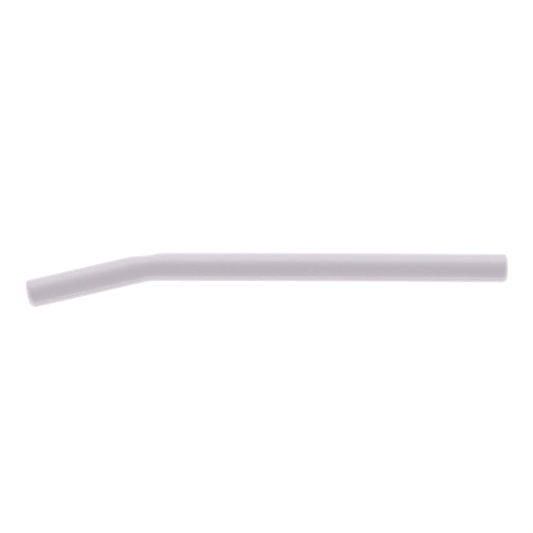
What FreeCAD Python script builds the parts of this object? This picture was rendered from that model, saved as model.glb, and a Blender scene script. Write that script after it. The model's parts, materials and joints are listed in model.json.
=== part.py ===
"""Saliva ejector tip: one length of thick-walled suction tube with a shallow bend near its mouth end, and the
soft wire buried in its wall that holds the bend.

Frame, in millimetres: the origin is the centre of the valve end, the long rear leg lies along -X from it, the
short front leg goes on past the bend and leans to -Y, and +Z is up with the tube lying on its side.

The tube is one piece of extrusion. It is written here as three stretches, so that the two straight legs can
turn about the bend: rear_tube, bend_section and front_tube.
"""
import FreeCAD, Part

import math
import os

# Driving dimensions of the tube
tube_diameter = 8.0
wall = 1.8
rear_length = 100.15     # valve end to the point where the two leg axes cross
front_length = 34.65     # that point to the mouth end
bend_angle = 13.2        # degrees between the two leg axes
inner_bend_radius = 0.6  # of the tube's outside, on the inner side of the bend
flex_reach = 6.0         # how far the stretch that flexes runs along each leg from the crossing point
rim_round = 1.4          # outer edge of both ends
lip_round = 0.3          # inner edge of both ends

# Driving dimensions of the wire
wire_diameter = 0.8
wire_clearance = 0.02    # round the wire, in its channel in the wall
wire_setback = 2.5       # from each end of the tube to the wire's own end

# Worked out from those
outer_radius = tube_diameter / 2
bore_radius = outer_radius - wall
rounds_share = 0.95      # the most of the wall's thickness that the two rounds of a rim may take
rounds_scale = min(1.0, rounds_share * wall / (rim_round + lip_round))
wire_radius = wire_diameter / 2
channel_radius = wire_radius + wire_clearance
wire_offset = outer_radius - wall / 2
bend_radius = outer_radius + inner_bend_radius
bend_tangent = bend_radius * math.tan(math.radians(bend_angle / 2))

UP = FreeCAD.Vector(0, 0, 1)
CROSSING = FreeCAD.Vector(-rear_length, 0, 0)


class Leg:
    """A straight leg of the tube: a ray from the crossing point, and the side of it that the bend closes on."""

    def __init__(self, heading, inner_side):
        self.heading = heading
        self.inner_side = inner_side

    def point(self, distance, offset=0.0):
        """The point this far from the crossing point, moved by offset towards the inner side of the bend."""
        return CROSSING + self.heading * distance + self.inner_side * offset

    def rod(self, radius, start, end, offset=0.0):
        """A solid rod along the leg between two distances from the crossing point."""
        return Part.makeCylinder(radius, end - start, self.point(start, offset), self.heading)


def front_directions():
    """The heading of the front leg, and the way from its axis to the centre of the bend."""
    turn = math.radians(bend_angle)
    heading = FreeCAD.Vector(-math.cos(turn), -math.sin(turn), 0)
    inner_side = FreeCAD.Vector(math.sin(turn), -math.cos(turn), 0)
    return heading, inner_side


REAR = Leg(FreeCAD.Vector(1, 0, 0), FreeCAD.Vector(0, -1, 0))
FRONT = Leg(*front_directions())
BEND_CENTRE = REAR.point(bend_tangent, bend_radius)


def elbow(radius, offset=0.0):
    """The round rod of this radius that turns from one leg to the other, its axis offset to the inner side."""
    start = REAR.point(bend_tangent, offset)
    circle = Part.Circle(start, REAR.heading, radius)
    section = Part.Face(Part.Wire(circle.toShape()))
    return section.revolve(BEND_CENTRE, UP, bend_angle)


def bent_rod(radius, rear_end, front_end, offset=0.0):
    """A round rod that follows both legs, from rear_end on the rear leg to front_end on the front leg."""
    stretches = [
        REAR.rod(radius, bend_tangent, rear_end, offset),
        elbow(radius, offset),
        FRONT.rod(radius, bend_tangent, front_end, offset),
    ]
    return stretches[0].fuse(stretches[1:]).removeSplitter()


def round_rim(leg, length, tube):
    """Rounds the two edges of the tube's open end, which is this far along the leg."""
    rim_centre = leg.point(length)
    for edge_radius, round_radius in ((outer_radius, rim_round), (bore_radius, lip_round)):
        edges = [
            edge
            for edge in tube.Edges
            if isinstance(edge.Curve, Part.Circle)
            and edge.Curve.Center.isEqual(rim_centre, 1e-4)
            and abs(edge.Curve.Radius - edge_radius) < 1e-4
        ]
        tube = tube.makeFillet(round_radius * rounds_scale, edges)
    return tube


def straight_tube(leg, length):
    """The tube along one leg, from the end of the flexing stretch to the open end, with the wire's channel."""
    outside = leg.rod(outer_radius, flex_reach, length)
    bore = leg.rod(bore_radius, flex_reach, length)
    tube = round_rim(leg, length, outside.cut(bore))
    channel = leg.rod(channel_radius, flex_reach, length - wire_setback + wire_clearance, wire_offset)
    return tube.cut(channel)


def flexing_tube():
    """The stretch of tube that takes the bend, with the bore and the wire's channel right through it."""
    outside = bent_rod(outer_radius, flex_reach, flex_reach)
    bore = bent_rod(bore_radius, flex_reach, flex_reach)
    channel = bent_rod(channel_radius, flex_reach, flex_reach, wire_offset)
    return outside.cut(bore).cut(channel)


def wire():
    """The wire, which stops short of both ends so that it never comes through the wall."""
    return bent_rod(wire_radius, rear_length - wire_setback, front_length - wire_setback, wire_offset)


PIECES = {
    "rear_tube": straight_tube(REAR, rear_length),
    "bend_section": flexing_tube(),
    "front_tube": straight_tube(FRONT, front_length),
    "shape_wire": wire(),
}

os.makedirs("parts", exist_ok=True)
for name, shape in PIECES.items():
    if not shape.isValid() or len(shape.Solids) != 1:
        raise ValueError(f"{name} is not one valid solid")
    shape.Solids[0].exportStep(f"parts/{name}.step")
    box = shape.BoundBox
    print(f"{name}: {shape.Volume:.3f} mm3, X {box.XMin:.3f} to {box.XMax:.3f}, Y {box.YMin:.3f} to {box.YMax:.3f}")
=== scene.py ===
"""Finished look of a bent suction tip: one continuous tube of glossy white plastic with rounded
rims, and the soft wire that is moulded into its wall and holds the bend.

Lengths are in metres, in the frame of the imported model: the origin is the centre of the valve end,
the long rear leg runs from it along -X, and the short front leg leans to -Y.
"""

import json
import math

import bmesh
import bpy
from bpy.props import FloatProperty, FloatVectorProperty, IntProperty, PointerProperty
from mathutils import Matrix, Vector, noise
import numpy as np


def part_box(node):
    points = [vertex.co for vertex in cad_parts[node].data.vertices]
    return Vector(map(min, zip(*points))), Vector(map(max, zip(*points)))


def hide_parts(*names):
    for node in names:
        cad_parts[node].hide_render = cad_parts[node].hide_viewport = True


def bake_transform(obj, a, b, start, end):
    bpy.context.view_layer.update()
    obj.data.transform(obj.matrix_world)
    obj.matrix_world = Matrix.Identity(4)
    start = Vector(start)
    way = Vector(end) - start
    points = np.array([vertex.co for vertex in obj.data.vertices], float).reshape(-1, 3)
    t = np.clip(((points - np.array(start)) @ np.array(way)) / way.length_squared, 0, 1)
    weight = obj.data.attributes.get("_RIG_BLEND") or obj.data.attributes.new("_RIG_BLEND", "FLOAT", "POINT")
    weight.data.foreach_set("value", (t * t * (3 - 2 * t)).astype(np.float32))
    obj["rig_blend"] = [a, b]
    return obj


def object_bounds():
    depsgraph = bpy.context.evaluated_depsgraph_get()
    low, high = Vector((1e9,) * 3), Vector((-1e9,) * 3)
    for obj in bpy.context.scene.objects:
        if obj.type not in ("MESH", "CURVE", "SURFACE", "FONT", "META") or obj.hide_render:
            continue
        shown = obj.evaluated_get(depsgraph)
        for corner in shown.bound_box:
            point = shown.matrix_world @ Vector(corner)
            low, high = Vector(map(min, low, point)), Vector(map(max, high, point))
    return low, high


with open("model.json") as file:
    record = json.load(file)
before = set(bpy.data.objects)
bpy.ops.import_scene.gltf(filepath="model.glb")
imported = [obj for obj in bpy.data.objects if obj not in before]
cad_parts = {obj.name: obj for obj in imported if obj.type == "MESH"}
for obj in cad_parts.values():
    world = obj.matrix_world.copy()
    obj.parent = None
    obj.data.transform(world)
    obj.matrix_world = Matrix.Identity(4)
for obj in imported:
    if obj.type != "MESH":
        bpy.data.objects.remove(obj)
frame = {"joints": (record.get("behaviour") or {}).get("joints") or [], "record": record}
CAD_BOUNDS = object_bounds()

bl_info = {
    "name": "Suction Tip",
    "version": (1, 0, 0),
    "blender": (4, 5, 0),
    "location": "3D View > Sidebar > Suction Tip",
    "description": "Builds a bent suction tip of glossy plastic, with the wire in its wall",
    "category": "Object",
}

MM = 0.001
WHITE = (1.0, 1.0, 1.0, 1.0)

# The plastic gives over a stretch this many times as long as the frame's flexing one
FLEX_SHARE = 1.35

# The table top is a light table: half its width, what it gives back of the light that falls on it,
# what it gives the object from below, how much of a shadow it shows, and how bright it looks itself
FLOOR_HALF_WIDTH = 3.0
FLOOR_BOUNCE = 0.75
FLOOR_UNDERLIGHT = 0.5
FLOOR_SHADOW_SHARE = 0.16
FLOOR_GLOW = 0.89

# The two lights: name, place from the tube's axis in the middle of the view, height that it is
# aimed at, width and height, colour
LIGHTS = {
    "tall_softbox": ((0.0, 0.36, 0.15), 0.0, (0.6, 0.34), (0.90, 0.98, 1.0)),
    "low_strip": ((0.0, -0.25, -0.0005), -0.0005, (1.6, 0.006), (1.0, 0.965, 0.955)),
}

# The nearest and the furthest that the camera sees, as shares of its distance from the tube
CLIP_SHARES = (0.05, 20)

# How fine each texture of the plastic is, in grains per metre. A pair is along the tube and across
CLOUD_GRAINS = 170
SPECK_GRAINS = 130
DIE_LINE_GRAINS = (25, 2400)
SCUFF_GRAINS = (260, 900)
# MOTTLE_GRAINS sets the mottle of the painted highlight on the mouth's rim
MOTTLE_GRAINS = 1900
PEEL_GRAINS = 2600
RIM_GRAINS = 3200

# How high the plastic's die lines, orange peel and rim grain stand
DIE_LINE_HEIGHT = 0.0012 * MM
PEEL_HEIGHT = 0.0015 * MM
RIM_GRAIN_HEIGHT = 0.012 * MM

# What the plastic's die lines and scuffs add to its roughness, at least and at most
DIE_LINE_ROUGHNESS = (-0.03, 0.03)
SCUFF_ROUGHNESS = (0.0, 0.09)

# How much of its own colour a dust speck shows in its middle, and from where to where that fades,
# in grains
SPECK_STRENGTH = 0.55
SPECK_EDGE = (0.008, 0.02)

PLASTIC_IOR = 1.49

# How much painted highlight (paler colour where the rim catches the light) the valve's rim has,
# where 1 is all that a rim can take, and the least and the most on the mottled rim of the mouth
VALVE_RIM_HIGHLIGHT = 0.36
MOUTH_RIM_HIGHLIGHT = (0.25, 0.90)

# The wire: how fine its draw lines and its film are, how high the lines stand, its roughness, and
# the least and the most film on it
DRAW_LINE_GRAINS = (60, 9000)
FILM_GRAINS = 420
DRAW_LINE_HEIGHT = 0.002 * MM
WIRE_ROUGHNESS = (0.28, 0.46)
FILM_SHARE = (0.0, 0.8)


def mount(name):
    """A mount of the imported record."""
    return next(m for m in frame["record"]["mounts"] if m["name"] == name)


def joint(name):
    """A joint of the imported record."""
    return next(j for j in frame["joints"] if j["name"] == name)


# Fixed facts of the frame, in metres
PIVOT = Vector(joint("bend_pivot")["pos_m"])
FRONT_HEADING = Vector(mount("mouth_bore")["axis"]).normalized()
MOUTH = Vector(mount("mouth_bore")["pos_m"])
OUTER_RADIUS = mount("valve_seat")["dims"]["r_mm"] * MM
BORE_RADIUS = mount("valve_bore")["dims"]["r_mm"] * MM
WIRE_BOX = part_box("shape_wire")
WIRE_RADIUS = (WIRE_BOX[1].z - WIRE_BOX[0].z) / 2
WIRE_SETBACK = -WIRE_BOX[1].x
REAR_LENGTH = -PIVOT.x
FRONT_LENGTH = (MOUTH - PIVOT).length
BEND_ANGLE = math.atan2(-FRONT_HEADING.y, -FRONT_HEADING.x)
FLEX_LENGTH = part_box("bend_section")[1].x - PIVOT.x


class TubeSettings(bpy.types.PropertyGroup):
    """Sizes of the tube that the frame leaves open."""

    rim_depth: FloatProperty(
        name="Rim depth",
        description="How far a rim's outer round runs along the tube, on the bend's outer side",
        default=0.95 * MM, min=0.2 * MM, max=2.5 * MM, precision=6, unit="LENGTH",
    )
    valve_rim_extra: FloatProperty(
        name="Extra depth, valve end",
        description="What the valve end's round gains on the inner side of the bend",
        default=0.52 * MM, min=0.0, max=1.5 * MM, precision=6, unit="LENGTH",
    )
    mouth_rim_extra: FloatProperty(
        name="Extra depth, mouth end",
        description="What the mouth end's round gains on the inner side of the bend",
        default=0.89 * MM, min=0.0, max=1.5 * MM, precision=6, unit="LENGTH",
    )
    mouth_trim: FloatProperty(
        name="Mouth trim",
        description="What tumbling has worn off the mouth end",
        default=0.05 * MM, min=0.0, max=0.2 * MM, precision=6, unit="LENGTH",
    )
    rim_height: FloatProperty(
        name="Rim height",
        description="How far a rim's outer round runs in from the tube's outside",
        default=1.42 * MM, min=0.2 * MM, max=1.6 * MM, precision=6, unit="LENGTH",
    )
    lip_round: FloatProperty(
        name="Lip round",
        description="Radius of the inner edge of both ends",
        default=0.32 * MM, min=0.05 * MM, max=0.5 * MM, precision=6, unit="LENGTH",
    )
    rim_roughness: FloatProperty(
        name="Rim waviness",
        description="Height of the fine waves that cutting and tumbling leave on a rim",
        default=0.022 * MM, min=0.0, max=0.1 * MM, precision=6, unit="LENGTH",
    )
    bow: FloatProperty(
        name="Bow",
        description="How far the ends of the long leg lie to -Y of its middle",
        default=0.09 * MM, min=0.0, max=1.0 * MM, precision=6, unit="LENGTH",
    )
    kink_share: FloatProperty(
        name="Kink share",
        description="The share of the bend that is taken by its sharp part",
        default=0.70, min=0.3, max=1.0, subtype="FACTOR",
    )
    kink_radius: FloatProperty(
        name="Kink radius",
        description="Radius of the tube's axis in the sharp part of the bend",
        default=4.6 * MM, min=4.2 * MM, max=20.0 * MM, precision=6, unit="LENGTH",
    )
    sweep_length: FloatProperty(
        name="Sweep length",
        description="Length of the gentle part of the bend, on the front leg's side",
        default=2.8 * MM, min=0.5 * MM, max=8.0 * MM, precision=6, unit="LENGTH",
    )
    dent_depth: FloatProperty(
        name="Dent depth",
        description="How far the outer side of the bend is drawn in",
        default=0.60 * MM, min=0.0, max=1.5 * MM, precision=6, unit="LENGTH",
    )
    dent_spread: FloatProperty(
        name="Dent spread",
        description="Standard deviation of the drawn-in stretch along the tube",
        default=1.85 * MM, min=0.5 * MM, max=4.0 * MM, precision=6, unit="LENGTH",
    )
    dent_place: FloatProperty(
        name="Dent place",
        description="Middle of the drawn-in stretch, from the bend towards the valve end",
        default=0.03 * MM, min=-3.0 * MM, max=3.0 * MM, precision=6, unit="LENGTH",
    )
    die_waviness: FloatProperty(
        name="Die waviness",
        description="Height of the slow waves that extrusion leaves along the tube",
        default=0.006 * MM, min=0.0, max=0.05 * MM, precision=6, unit="LENGTH",
    )
    sides: IntProperty(
        name="Sides", description="Faces round the tube", default=128, min=24, max=256,
    )


class WireSettings(bpy.types.PropertyGroup):
    """Sizes of the wire that the frame leaves open."""

    clearance: FloatProperty(
        name="Clearance",
        description="Gap between the wire and its channel",
        default=0.02 * MM, min=0.0, max=0.2 * MM, precision=6, unit="LENGTH",
    )
    cut_round: FloatProperty(
        name="Cut round",
        description="Round of the wire's sheared ends",
        default=0.12 * MM, min=0.01 * MM, max=0.3 * MM, precision=6, unit="LENGTH",
    )
    sides: IntProperty(
        name="Sides", description="Faces round the wire", default=24, min=8, max=64,
    )


class FinishSettings(bpy.types.PropertyGroup):
    """Colours and gloss of the two materials."""

    plastic: FloatVectorProperty(
        name="Plastic",
        description="Base colour of the tube",
        default=(0.499, 0.460, 0.506), min=0.0, max=1.0, size=3, subtype="COLOR",
    )
    plastic_warm: FloatVectorProperty(
        name="Warm drift",
        description="Colour that the plastic drifts to in broad faint clouds",
        default=(0.512, 0.462, 0.496), min=0.0, max=1.0, size=3, subtype="COLOR",
    )
    # The rim colour is a painted highlight: the paler colour the rounded rims take where they catch the
    # light
    rim: FloatVectorProperty(
        name="Rim",
        description="Base colour of a fully frosted rim",
        default=(0.700, 0.665, 0.700), min=0.0, max=1.0, size=3, subtype="COLOR",
    )
    speck: FloatVectorProperty(
        name="Speck",
        description="Colour of the rare dust specks in the plastic",
        default=(0.30, 0.27, 0.29), min=0.0, max=1.0, size=3, subtype="COLOR",
    )
    gloss_roughness: FloatProperty(
        name="Gloss roughness",
        description="Roughness of the extruded skin",
        default=0.24, min=0.0, max=1.0, subtype="FACTOR",
    )
    rim_roughness: FloatProperty(
        name="Rim roughness",
        description="Roughness of the cut and rounded rims",
        default=0.42, min=0.0, max=1.0, subtype="FACTOR",
    )
    sheen: FloatProperty(
        name="Sheen",
        description="Soft pale glow of the translucent skin towards its edges",
        default=1.0, min=0.0, max=1.0, subtype="FACTOR",
    )
    sheen_roughness: FloatProperty(
        name="Sheen roughness",
        description="How far in from the edges the glow reaches",
        default=0.5, min=0.0, max=1.0, subtype="FACTOR",
    )
    wire_metal: FloatVectorProperty(
        name="Wire metal",
        description="Colour of the annealed wire",
        default=(0.56, 0.53, 0.49), min=0.0, max=1.0, size=3, subtype="COLOR",
    )
    wire_oxide: FloatVectorProperty(
        name="Wire oxide",
        description="Colour of the thin annealing film on the wire",
        default=(0.33, 0.28, 0.23), min=0.0, max=1.0, size=3, subtype="COLOR",
    )


class StageSettings(bpy.types.PropertyGroup):
    """The camera and the lights."""

    lens: FloatProperty(
        name="Lens",
        description="Focal length of the camera",
        default=500.0, min=35.0, max=1000.0, subtype="DISTANCE_CAMERA",
    )
    view_width: FloatProperty(
        name="View width",
        description="Width of the view at the tube's axis",
        default=148.55 * MM, min=50.0 * MM, max=500.0 * MM, precision=6, unit="LENGTH",
    )
    view_x: FloatProperty(
        name="View X",
        description="Middle of the view along X",
        default=-67.22 * MM, precision=6, unit="LENGTH",
    )
    view_y: FloatProperty(
        name="View Y",
        description="Middle of the view along Y",
        default=0.10 * MM, precision=6, unit="LENGTH",
    )
    roll: FloatProperty(
        name="Roll",
        description="Turn of the camera about its axis",
        default=math.radians(0.222), subtype="ANGLE",
    )
    sky_strength: FloatProperty(
        name="Sky",
        description="Strength of the even light from all round",
        default=0.80, min=0.0, max=3.0,
    )
    softbox_power: FloatProperty(
        name="Softbox",
        description="Power of the tall softbox on the +Y side",
        default=0.93, min=0.0, max=50.0, unit="POWER",
    )
    strip_power: FloatProperty(
        name="Low strip",
        description="Power of the low strip light on the -Y side",
        default=0.62, min=0.0, max=50.0, unit="POWER",
    )


class TipSettings(bpy.types.PropertyGroup):
    """All the settings of the tip."""

    tube: PointerProperty(type=TubeSettings)
    wire: PointerProperty(type=WireSettings)
    finish: PointerProperty(type=FinishSettings)
    stage: PointerProperty(type=StageSettings)


def settings():
    """The scene's own settings."""
    return bpy.context.scene.suction_tip


def clamped(value, low, high):
    """The value, or the nearer of the two ends if it is outside them."""
    return min(max(value, low), high)


def smooth_step(value):
    """0 below 0, 1 above 1, and a smooth rise between."""
    t = clamped(value, 0.0, 1.0)
    return t * t * (3 - 2 * t)


class Axis:
    """The tube's axis as it really lies. A station s is a length along it from the bend, positive
    towards the valve end and negative towards the mouth end. The long leg bows a little, and the
    bend is a sharp kink that runs out gently into the front leg."""

    trace_step = 0.05 * MM     # about the length of one of the steps that trace the axis
    closest_rings = 0.05 * MM  # how far apart rings are in the kink
    widest_rings = 1.2 * MM    # how far apart they may be away from it
    ring_growth = 0.07         # how much further apart they are for each length away from it
    last_gap = 0.01 * MM       # a gap before the last ring that is too short for another ring

    def __init__(self, tube):
        self.bow = tube.bow
        self.kink_share = tube.kink_share
        self.kink_length = tube.kink_radius * BEND_ANGLE * tube.kink_share
        self.sweep_length = tube.sweep_length
        # The two legs, carried on, meet at station 0
        middle = (1 - tube.kink_share) * (self.kink_length + self.sweep_length) / 2
        self.kink_start = middle - self.kink_length / 2
        count = round((REAR_LENGTH + FRONT_LENGTH) / self.trace_step)
        self.step = (REAR_LENGTH + FRONT_LENGTH) / count
        self.points = self.trace(count)

    def bow_slope(self, s):
        """Slope of the bowed long leg against X, which is none at its ends and its middle."""
        share = clamped(s / REAR_LENGTH, 0.0, 1.0)
        return math.pi * self.bow / REAR_LENGTH * math.sin(2 * math.pi * share)

    def heading(self, s):
        """Angle between X and the axis, towards the valve end."""
        kink = clamped((s - self.kink_start) / self.kink_length, 0.0, 1.0)
        sweep = smooth_step((s - self.kink_start + self.sweep_length) / self.sweep_length)
        left = self.kink_share * (1 - kink) + (1 - self.kink_share) * (1 - sweep)
        return self.bow_slope(s) + BEND_ANGLE * left

    def trace(self, count):
        """The ends of this many equal steps along the axis, from the valve end to the mouth end."""
        points = [Vector((0.0, -self.bow, 0.0))]
        for i in range(count):
            angle = self.heading(REAR_LENGTH - (i + 0.5) * self.step)
            points.append(points[-1] - Vector((math.cos(angle), math.sin(angle), 0.0)) * self.step)
        return points

    def place(self, s, out, up):
        """The point of the cross-section at station s that is this far out from the axis, away from
        the inner side of the bend, and this far up."""
        reached = clamped((REAR_LENGTH - s) / self.step, 0.0, len(self.points) - 1.0)
        first = min(int(reached), len(self.points) - 2)
        centre = self.points[first].lerp(self.points[first + 1], reached - first)
        angle = self.heading(s)
        return centre + Vector((-math.sin(angle) * out, math.cos(angle) * out, up))

    def stations(self, first, last):
        """Stations from first to last, close together in the kink and wider apart away from it."""
        middle = self.kink_start + self.kink_length / 2
        found = [first]
        while found[-1] < last - self.last_gap:
            away = max(abs(found[-1] - middle) - self.kink_length, 0.0)
            step = min(self.widest_rings, self.closest_rings + self.ring_growth * away)
            found.append(min(found[-1] + step, last))
        return found


class TubeSurface:
    """The skin of the tube: its outside, its two rims and its bore, as one closed row of rings. A
    ring is a function from the angle around the axis to (station, out, up, how much it is part of
    a rim). The angle is 0 on the outer side of the bend."""

    straight_gap = 0.15 * MM  # from the end of a round to the next ring
    round_steps = 14          # rings across a rim's outer round
    lip_steps = 6             # rings across its inner edge
    wave_rate = 55            # waves of the outside, per metre along the tube
    wave_girth = 0.9          # and round it: radius of the circle of noise that they come from
    wear_rate = 1.6           # waves across a rim's outer round
    wear_girth = 3.6          # and round it
    wear_offset = 90          # times an end's station, so that the two rims have different waves
    finish_rise = 2.5         # how soon the rim's finish is whole: at 1, only on its end face
    lip_fade_start = 1 / 3    # share of the inner edge after which the rim's finish fades

    def __init__(self, axis, tube):
        self.axis = axis
        self.tube = tube

    def dent(self, s, around):
        """How far the wall is drawn in on the outer side of the bend."""
        away = (s - self.tube.dent_place) / self.tube.dent_spread
        return self.tube.dent_depth * math.exp(-away * away / 2) * max(math.cos(around), 0.0) ** 2

    def die_wave(self, s, around):
        """The slow unevenness of the extruded outside, never proud of the nominal radius."""
        place = Vector((s * self.wave_rate, *circle_point(self.wave_girth, around)))
        return (noise.noise(place) - 1) / 2 * self.tube.die_waviness

    def rim_extra(self, end):
        """What a rim's round gains in length on the inner side of the bend."""
        return self.tube.valve_rim_extra if end > 0 else self.tube.mouth_rim_extra

    def rim_depth(self, end, around):
        """How far a rim's round runs along the tube, which is more on the bend's inner side."""
        return self.tube.rim_depth + self.rim_extra(end) * (1 - math.cos(around)) / 2

    def outside_ring(self, s):
        """A ring of the outside."""

        def ring(around):
            radius = OUTER_RADIUS - self.dent(s, around) + self.die_wave(s, around)
            return s, *circle_point(radius, around), 0.0

        return ring

    def bore_ring(self, s):
        """A ring of the bore, which keeps the wall's thickness where the outside is drawn in."""
        return lambda around: (s, *circle_point(BORE_RADIUS - self.dent(s, around), around), 0.0)

    def rim_ring(self, end, phase):
        """A ring of the outer round, from phase 0 on the outside to phase 1 on the end face."""
        turn = phase * math.pi / 2
        outward = math.copysign(1, end)
        rim_share = smooth_step(phase * self.finish_rise)

        def ring(around):
            across = end * self.wear_offset + phase * self.wear_rate
            spot = Vector((*circle_point(self.wear_girth, around), across))
            bite = (1 - noise.noise(spot)) / 2 * math.sin(phase * math.pi)
            worn = self.tube.rim_roughness * bite
            depth = self.rim_depth(end, around) * (1 - math.sin(turn)) + worn
            radius = OUTER_RADIUS - self.tube.rim_height * (1 - math.cos(turn)) - worn
            skin = self.die_wave(end, around) * (1 - phase)
            return end - outward * depth, *circle_point(radius + skin, around), rim_share

        return ring

    def lip_ring(self, end, phase):
        """A ring of the inner edge, from phase 0 on the end face to phase 1 in the bore."""
        turn = (1 - phase) * math.pi / 2
        outward = math.copysign(1, end)
        depth = self.tube.lip_round * (1 - math.sin(turn))
        radius = BORE_RADIUS + self.tube.lip_round * (1 - math.cos(turn))
        faded = (phase - self.lip_fade_start) / (1 - self.lip_fade_start)
        rim_share = 1 - smooth_step(faded)
        return lambda around: (end - outward * depth, *circle_point(radius, around), rim_share)

    def rings(self):
        """All the rings, in order: along the outside to the valve end, round its rim, back through
        the bore and round the mouth's rim."""
        mouth, valve = self.tube.mouth_trim - FRONT_LENGTH, REAR_LENGTH
        mouth_reach, valve_reach = (
            self.tube.rim_depth + self.rim_extra(end) + self.straight_gap for end in (mouth, valve)
        )
        lip_reach = self.tube.lip_round + self.straight_gap
        outside = self.axis.stations(mouth + mouth_reach, valve - valve_reach)
        bore = self.axis.stations(mouth + lip_reach, valve - lip_reach)
        round_phases = [i / self.round_steps for i in range(self.round_steps + 1)]
        lip_phases = [i / self.lip_steps for i in range(self.lip_steps + 1)]
        return (
            [self.outside_ring(s) for s in outside]
            + [self.rim_ring(valve, phase) for phase in round_phases]
            + [self.lip_ring(valve, phase) for phase in lip_phases]
            + [self.bore_ring(s) for s in reversed(bore)]
            + [self.lip_ring(mouth, phase) for phase in reversed(lip_phases)]
            + [self.rim_ring(mouth, phase) for phase in reversed(round_phases)]
        )


def circle_point(radius, around):
    """The two sides of the point of a circle at this angle."""
    return radius * math.cos(around), radius * math.sin(around)


def rod_rings(axis, radius, first, last, end_round):
    """The rings of a round rod that runs along the middle of the wall, on the inner side of the
    bend, with its two ends rounded."""
    middle_of_wall = (OUTER_RADIUS + BORE_RADIUS) / 2
    round_steps = 4

    def ring(s, size):
        def at(around):
            out, up = circle_point(size, around)
            return s, out - middle_of_wall, up, 0.0

        return at

    # How far in from the rod's end each ring of a round is, and how much smaller than the rod
    turns = [i / round_steps * math.pi / 2 for i in range(round_steps)]
    rounds = [(end_round * (1 - math.cos(t)), end_round * (1 - math.sin(t))) for t in turns]
    start = [ring(first + inward, radius - smaller) for inward, smaller in rounds]
    body = [ring(s, radius) for s in axis.stations(first + end_round, last - end_round)]
    stop = [ring(last - inward, radius - smaller) for inward, smaller in rounds]
    return start + body + stop[::-1]


def add_skin(mesh, axis, rings, sides, closed):
    """Adds a skin of quads through the rings to the bmesh and gives its faces. A closed skin joins
    its last ring to its first, and an open one is capped at both ends. Each vertex keeps where it
    is on a straight tube."""
    unbent = mesh.verts.layers.float_vector["unbent"]
    rim = mesh.verts.layers.float["rim"]
    angles = [2 * math.pi * j / sides for j in range(sides)]
    grid = []
    for ring in rings:
        row = []
        for around in angles:
            s, out, up, rim_share = ring(around)
            vertex = mesh.verts.new(axis.place(s, out, up))
            vertex[unbent] = (s, out, up)
            vertex[rim] = rim_share
            row.append(vertex)
        grid.append(row)
    faces = []
    followers = grid[1:] + grid[:1] if closed else grid[1:]
    for lower, upper in zip(grid, followers):
        for j in range(sides):
            k = (j + 1) % sides
            faces.append(mesh.faces.new((lower[j], lower[k], upper[k], upper[j])))
    if not closed:
        for row in (grid[0][::-1], grid[-1]):
            faces += cap(mesh, row)
    return faces


def cap(mesh, row):
    """Closes a ring of vertices with a fan of triangles about its middle, and gives them."""
    unbent = mesh.verts.layers.float_vector["unbent"]
    middle = mesh.verts.new(sum((v.co for v in row), Vector()) / len(row))
    middle[unbent] = sum((v[unbent] for v in row), Vector()) / len(row)
    return [mesh.faces.new((v, row[(j + 1) % len(row)], middle)) for j, v in enumerate(row)]


def new_layered_bmesh():
    """An empty bmesh with the two layers that the materials read."""
    mesh = bmesh.new()
    mesh.verts.layers.float_vector.new("unbent")
    mesh.verts.layers.float.new("rim")
    return mesh


def finished_object(name, mesh, material):
    """The bmesh as a smooth-shaded object with this material."""
    data = bpy.data.meshes.new(name)
    mesh.to_mesh(data)
    mesh.free()
    data.shade_smooth()
    data.materials.append(material)
    made = bpy.data.objects.new(name, data)
    bpy.context.scene.collection.objects.link(made)
    return made


def bend_with_the_joint(piece):
    """Lets a piece that crosses the bend flex smoothly between the two legs."""
    halfway = (Vector((-1.0, 0.0, 0.0)) + FRONT_HEADING).normalized()
    reach = halfway * FLEX_LENGTH * FLEX_SHARE
    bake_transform(piece, "rear_leg", "front_leg", start=PIVOT - reach, end=PIVOT + reach)


def build_tube():
    """The tube: one closed skin, and inside its wall the closed channel that the wire lies in."""
    tube, wire = settings().tube, settings().wire
    axis = Axis(tube)
    mesh = new_layered_bmesh()
    skin = add_skin(mesh, axis, TubeSurface(axis, tube).rings(), tube.sides, closed=True)
    bmesh.ops.recalc_face_normals(mesh, faces=skin)
    gap = wire.clearance
    first, last = WIRE_SETBACK - FRONT_LENGTH - gap, REAR_LENGTH - WIRE_SETBACK + gap
    rings = rod_rings(axis, WIRE_RADIUS + gap, first, last, wire.cut_round)
    channel = add_skin(mesh, axis, rings, wire.sides, closed=False)
    bmesh.ops.recalc_face_normals(mesh, faces=channel)
    bmesh.ops.reverse_faces(mesh, faces=channel)
    made = finished_object("suction_tube", mesh, plastic_material())
    bend_with_the_joint(made)
    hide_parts("rear_tube", "bend_section", "front_tube")


def build_wire():
    """The wire, from near the mouth end to near the valve end, inside the wall."""
    tube, wire = settings().tube, settings().wire
    axis = Axis(tube)
    mesh = new_layered_bmesh()
    first, last = WIRE_SETBACK - FRONT_LENGTH, REAR_LENGTH - WIRE_SETBACK
    rings = rod_rings(axis, WIRE_RADIUS, first, last, wire.cut_round)
    faces = add_skin(mesh, axis, rings, wire.sides, closed=False)
    bmesh.ops.recalc_face_normals(mesh, faces=faces)
    made = finished_object("bent_wire", mesh, wire_material())
    bend_with_the_joint(made)
    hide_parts("shape_wire")


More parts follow.
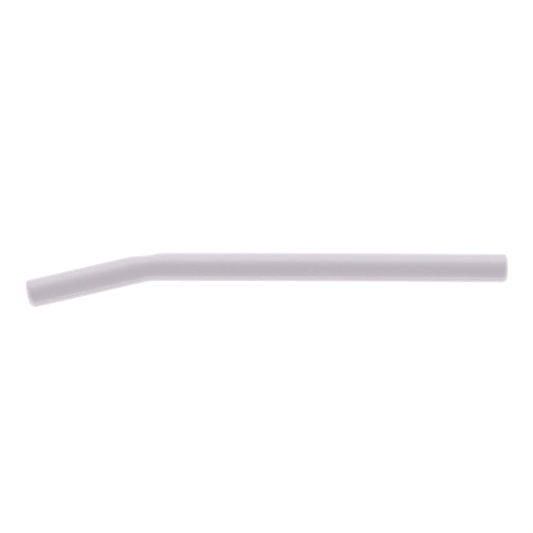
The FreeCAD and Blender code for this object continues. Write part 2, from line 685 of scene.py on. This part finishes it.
class NodeTree:
    """A short way to write a node tree: add() makes a node with its inputs set or linked, and gives
    it back."""

    def __init__(self, tree):
        self.tree = tree
        tree.nodes.clear()

    def add(self, kind, inputs=None, **options):
        """A node of this kind. An input is given a value, or the socket that it is linked to."""
        node = self.tree.nodes.new(kind)
        for name, value in options.items():
            setattr(node, name, value)
        for name, value in (inputs or {}).items():
            socket = node.inputs[name]
            if isinstance(value, bpy.types.NodeSocket):
                self.tree.links.new(value, socket)
            else:
                socket.default_value = value
        return node

    def stretched(self, vector, along, across):
        """A place on the straight tube, multiplied along it and across it."""
        inputs = {0: vector, 1: (along, across, across)}
        return self.add("ShaderNodeVectorMath", inputs, operation="MULTIPLY").outputs[0]

    def noise(self, vector, scale=1.0, detail=2.0, roughness=0.5):
        """Noise from 0 to 1, with this many grains per metre."""
        inputs = {"Vector": vector, "Scale": scale, "Detail": detail, "Roughness": roughness}
        return self.add("ShaderNodeTexNoise", inputs).outputs["Fac"]

    def spread(self, value, low, high, to_low, to_high):
        """The value from low to high, as one from to_low to to_high."""
        inputs = {
            "Value": value,
            "From Min": low,
            "From Max": high,
            "To Min": to_low,
            "To Max": to_high,
        }
        stretch = self.add("ShaderNodeMapRange", inputs, interpolation_type="SMOOTHSTEP")
        return stretch.outputs["Result"]

    def math(self, operation, first, second):
        """One sum of two values."""
        return self.add("ShaderNodeMath", {0: first, 1: second}, operation=operation).outputs[0]

    def mix_colour(self, share, first, second):
        """A colour between two colours."""
        inputs = {"Factor": share, 6: first, 7: second}
        return self.add("ShaderNodeMix", inputs, data_type="RGBA").outputs[2]

    def mix_value(self, share, first, second):
        """A value between two values."""
        inputs = {0: share, 2: first, 3: second}
        return self.add("ShaderNodeMix", inputs, data_type="FLOAT").outputs[0]

    def bump(self, height, size, below=None):
        """A bump of this height in metres, on top of another one."""
        inputs = {"Height": height, "Distance": size, "Strength": 1.0}
        if below is not None:
            inputs["Normal"] = below
        return self.add("ShaderNodeBump", inputs).outputs["Normal"]


def new_material(name):
    """A material and its empty node tree."""
    material = bpy.data.materials.new(name)
    material.use_nodes = True
    return material, NodeTree(material.node_tree)


def rgba(colour):
    """A colour with full alpha."""
    return (*colour, 1.0)


def plastic_material():
    """Glossy white thermoplastic: a smooth extruded skin with faint die lines, slow colour clouds
    and rare specks, and duller rims that were cut and rounded. The rims carry a painted
    highlight, a paler colour where they catch the light, mottled at the mouth and even at the valve."""
    finish = settings().finish
    material, nodes = new_material("tube_plastic")
    unbent = nodes.add("ShaderNodeAttribute", attribute_name="unbent").outputs["Vector"]
    rim = nodes.add("ShaderNodeAttribute", attribute_name="rim").outputs["Fac"]

    # Broad clouds of a warmer colour, then rare dark specks
    clouds = nodes.spread(nodes.noise(unbent, CLOUD_GRAINS, detail=3.0), 0.35, 0.65, 0.0, 1.0)
    colour = nodes.mix_colour(clouds, rgba(finish.plastic), rgba(finish.plastic_warm))
    cells = nodes.add("ShaderNodeTexVoronoi", {"Vector": unbent, "Scale": SPECK_GRAINS})
    specks = nodes.spread(cells.outputs["Distance"], *SPECK_EDGE, SPECK_STRENGTH, 0.0)
    colour = nodes.mix_colour(specks, colour, rgba(finish.speck))

    # A skin that is a little rougher or smoother along the die lines, and dull in short scuffs
    die_lines = nodes.noise(nodes.stretched(unbent, *DIE_LINE_GRAINS), detail=3.0)
    scuffs = nodes.noise(nodes.stretched(unbent, *SCUFF_GRAINS), detail=4.0, roughness=0.6)
    uneven = nodes.spread(die_lines, 0.3, 0.7, *DIE_LINE_ROUGHNESS)
    skin = nodes.math("ADD", uneven, finish.gloss_roughness)
    skin = nodes.math("ADD", nodes.spread(scuffs, 0.55, 0.8, *SCUFF_ROUGHNESS), skin)
    roughness = nodes.mix_value(rim, skin, finish.rim_roughness)

    # Painted highlight on the rims, a paler colour where they catch the light, which is mottled at
    # the mouth, where stations are negative
    station = nodes.add("ShaderNodeSeparateXYZ", {0: unbent}).outputs[0]
    at_valve = nodes.spread(station, 0.0, 10 * MM, 0.0, 1.0)
    grains = nodes.noise(unbent, MOTTLE_GRAINS, detail=3.0)
    mottle = nodes.spread(grains, 0.38, 0.68, *MOUTH_RIM_HIGHLIGHT)
    rim_highlight = nodes.math("MULTIPLY", rim, nodes.mix_value(at_valve, mottle, VALVE_RIM_HIGHLIGHT))
    colour = nodes.mix_colour(rim_highlight, colour, rgba(finish.rim))

    # Die lines and orange peel all over, and on the rims the grain that tumbling leaves
    orange_peel = nodes.noise(unbent, PEEL_GRAINS, detail=2.0)
    grain = nodes.math("MULTIPLY", nodes.noise(unbent, RIM_GRAINS, detail=3.0), rim)
    normal = nodes.bump(die_lines, DIE_LINE_HEIGHT)
    normal = nodes.bump(orange_peel, PEEL_HEIGHT, below=normal)
    normal = nodes.bump(grain, RIM_GRAIN_HEIGHT, below=normal)

    shader = nodes.add(
        "ShaderNodeBsdfPrincipled",
        {
            "Base Color": colour,
            "Roughness": roughness,
            "Normal": normal,
            "IOR": PLASTIC_IOR,
            "Sheen Weight": finish.sheen,
            "Sheen Roughness": finish.sheen_roughness,
        },
    )
    nodes.add("ShaderNodeOutputMaterial", {"Surface": shader.outputs[0]})
    return material


def wire_material():
    """Soft annealed wire: drawn steel with a thin warm film and fine lines along it."""
    finish = settings().finish
    material, nodes = new_material("wire_steel")
    unbent = nodes.add("ShaderNodeAttribute", attribute_name="unbent").outputs["Vector"]
    draw_lines = nodes.noise(nodes.stretched(unbent, *DRAW_LINE_GRAINS), detail=3.0)
    film = nodes.spread(nodes.noise(unbent, FILM_GRAINS, detail=4.0), 0.4, 0.7, *FILM_SHARE)
    shader = nodes.add(
        "ShaderNodeBsdfPrincipled",
        {
            "Base Color": nodes.mix_colour(film, rgba(finish.wire_metal), rgba(finish.wire_oxide)),
            "Metallic": 1.0,
            "Roughness": nodes.spread(draw_lines, 0.3, 0.7, *WIRE_ROUGHNESS),
            "Normal": nodes.bump(draw_lines, DRAW_LINE_HEIGHT),
        },
    )
    nodes.add("ShaderNodeOutputMaterial", {"Surface": shader.outputs[0]})
    return material


def seen_directly(nodes):
    """1 for a ray from the camera, a reflection or a refraction, and 0 for light that falls on a
    surface."""
    path = nodes.add("ShaderNodeLightPath").outputs
    seen = nodes.math("MAXIMUM", path["Is Camera Ray"], path["Is Glossy Ray"])
    return nodes.math("MAXIMUM", seen, path["Is Transmission Ray"])


def floor_material():
    """A white table top that looks as bright as the backdrop and still keeps a faint shadow."""
    material, nodes = new_material("table_white")
    bounce = nodes.add("ShaderNodeBsdfDiffuse", {"Color": rgba([FLOOR_BOUNCE] * 3)})
    underlight = nodes.add("ShaderNodeEmission", {"Strength": FLOOR_UNDERLIGHT})
    lit = nodes.add("ShaderNodeAddShader", {0: bounce.outputs[0], 1: underlight.outputs[0]})
    faint = nodes.add("ShaderNodeBsdfDiffuse", {"Color": rgba([FLOOR_SHADOW_SHARE] * 3)})
    glow = nodes.add("ShaderNodeEmission", {"Strength": FLOOR_GLOW})
    seen = nodes.add("ShaderNodeAddShader", {0: faint.outputs[0], 1: glow.outputs[0]})
    choice = {0: seen_directly(nodes), 1: lit.outputs[0], 2: seen.outputs[0]}
    surface = nodes.add("ShaderNodeMixShader", choice)
    nodes.add("ShaderNodeOutputMaterial", {"Surface": surface.outputs[0]})
    return material


def build_floor():
    """The table top, level with the lowest line of the tube."""
    half = FLOOR_HALF_WIDTH
    mesh = bpy.data.meshes.new("table_top")
    corners = [(-half, -half, 0), (half, -half, 0), (half, half, 0), (-half, half, 0)]
    mesh.from_pydata(corners, [], [(0, 1, 2, 3)])
    mesh.materials.append(floor_material())
    floor = bpy.data.objects.new("table_top", mesh)
    floor.location = (0, 0, CAD_BOUNDS[0].z)
    bpy.context.scene.collection.objects.link(floor)


def build_sky():
    """Even light from all round, over a backdrop that is plain white."""
    world = bpy.data.worlds.new("studio")
    bpy.context.scene.world = world
    world.use_nodes = True
    nodes = NodeTree(world.node_tree)
    strength = settings().stage.sky_strength
    light = nodes.add("ShaderNodeBackground", {"Color": WHITE, "Strength": strength})
    backdrop = nodes.add("ShaderNodeBackground", {"Color": WHITE, "Strength": 1.0})
    choice = {0: seen_directly(nodes), 1: light.outputs[0], 2: backdrop.outputs[0]}
    surface = nodes.add("ShaderNodeMixShader", choice)
    nodes.add("ShaderNodeOutputWorld", {"Surface": surface.outputs[0]})


def build_light(name, middle, aim, size, power, colour):
    """A rectangular light that faces a point."""
    light = bpy.data.lights.new(name, "AREA")
    light.shape = "RECTANGLE"
    light.size, light.size_y = size
    light.energy = power
    light.color = colour
    lamp = bpy.data.objects.new(name, light)
    lamp.location = middle
    lamp.rotation_euler = (aim - middle).to_track_quat("-Z", "Y").to_euler()
    bpy.context.scene.collection.objects.link(lamp)


def build_camera():
    """The camera: straight above the tube, through a long lens, with +Y at the top of the view."""
    stage = settings().stage
    data = bpy.data.cameras.new("camera")
    data.lens = stage.lens
    distance = stage.view_width * data.lens / data.sensor_width
    data.clip_start, data.clip_end = (distance * share for share in CLIP_SHARES)
    camera = bpy.data.objects.new("camera", data)
    camera.location = (stage.view_x, stage.view_y, distance)
    camera.rotation_euler = (0.0, 0.0, stage.roll)
    bpy.context.scene.collection.objects.link(camera)
    bpy.context.scene.camera = camera


def build_stage():
    """The table, the lights and the camera."""
    stage = settings().stage
    build_floor()
    build_sky()
    powers = {"tall_softbox": stage.softbox_power, "low_strip": stage.strip_power}
    middle = Vector((stage.view_x, 0.0, 0.0))
    for name, (place, aim_height, size, colour) in LIGHTS.items():
        aim = middle + Vector((0.0, 0.0, aim_height))
        build_light(name, middle + Vector(place), aim, size, powers[name], colour)
    build_camera()
    bpy.context.scene.view_settings.view_transform = "Standard"


class SUCTION_TIP_OT_tube(bpy.types.Operator):
    """Build the tube, with its rounded rims, its bore and the bend"""

    bl_idname = "suction_tip.tube"
    bl_label = "Build Tube"

    def execute(self, context):
        build_tube()
        return {"FINISHED"}


class SUCTION_TIP_OT_wire(bpy.types.Operator):
    """Build the wire that lies in the tube's wall"""

    bl_idname = "suction_tip.wire"
    bl_label = "Build Wire"

    def execute(self, context):
        build_wire()
        return {"FINISHED"}


class SUCTION_TIP_OT_stage(bpy.types.Operator):
    """Build the table, the lights and the camera"""

    bl_idname = "suction_tip.stage"
    bl_label = "Build Stage"

    def execute(self, context):
        build_stage()
        return {"FINISHED"}


OPERATORS = (SUCTION_TIP_OT_tube, SUCTION_TIP_OT_wire, SUCTION_TIP_OT_stage)


class SUCTION_TIP_PT_panel(bpy.types.Panel):
    """The builders of the suction tip and their settings"""

    bl_idname = "SUCTION_TIP_PT_panel"
    bl_label = "Suction Tip"
    bl_space_type = "VIEW_3D"
    bl_region_type = "UI"
    bl_category = "Suction Tip"

    def draw(self, context):
        tip = context.scene.suction_tip
        groups = {"Tube": tip.tube, "Wire": tip.wire, "Finish": tip.finish, "Stage": tip.stage}
        for title, group in groups.items():
            box = self.layout.box()
            box.label(text=title)
            for name in group.__annotations__:
                box.prop(group, name)
        for operator in OPERATORS:
            self.layout.operator(operator.bl_idname)


CLASSES = (
    TubeSettings,
    WireSettings,
    FinishSettings,
    StageSettings,
    TipSettings,
    *OPERATORS,
    SUCTION_TIP_PT_panel,
)


def register():
    """Adds the settings, the builders and the panel to Blender."""
    for each in CLASSES:
        bpy.utils.register_class(each)
    bpy.types.Scene.suction_tip = PointerProperty(type=TipSettings)


def unregister():
    """Takes them away again."""
    del bpy.types.Scene.suction_tip
    for each in reversed(CLASSES):
        bpy.utils.unregister_class(each)


def main():
    """Builds everything with the settings as they stand."""
    register()
    bpy.ops.suction_tip.tube()
    bpy.ops.suction_tip.wire()
    bpy.ops.suction_tip.stage()


if __name__ == "__main__":
    main()
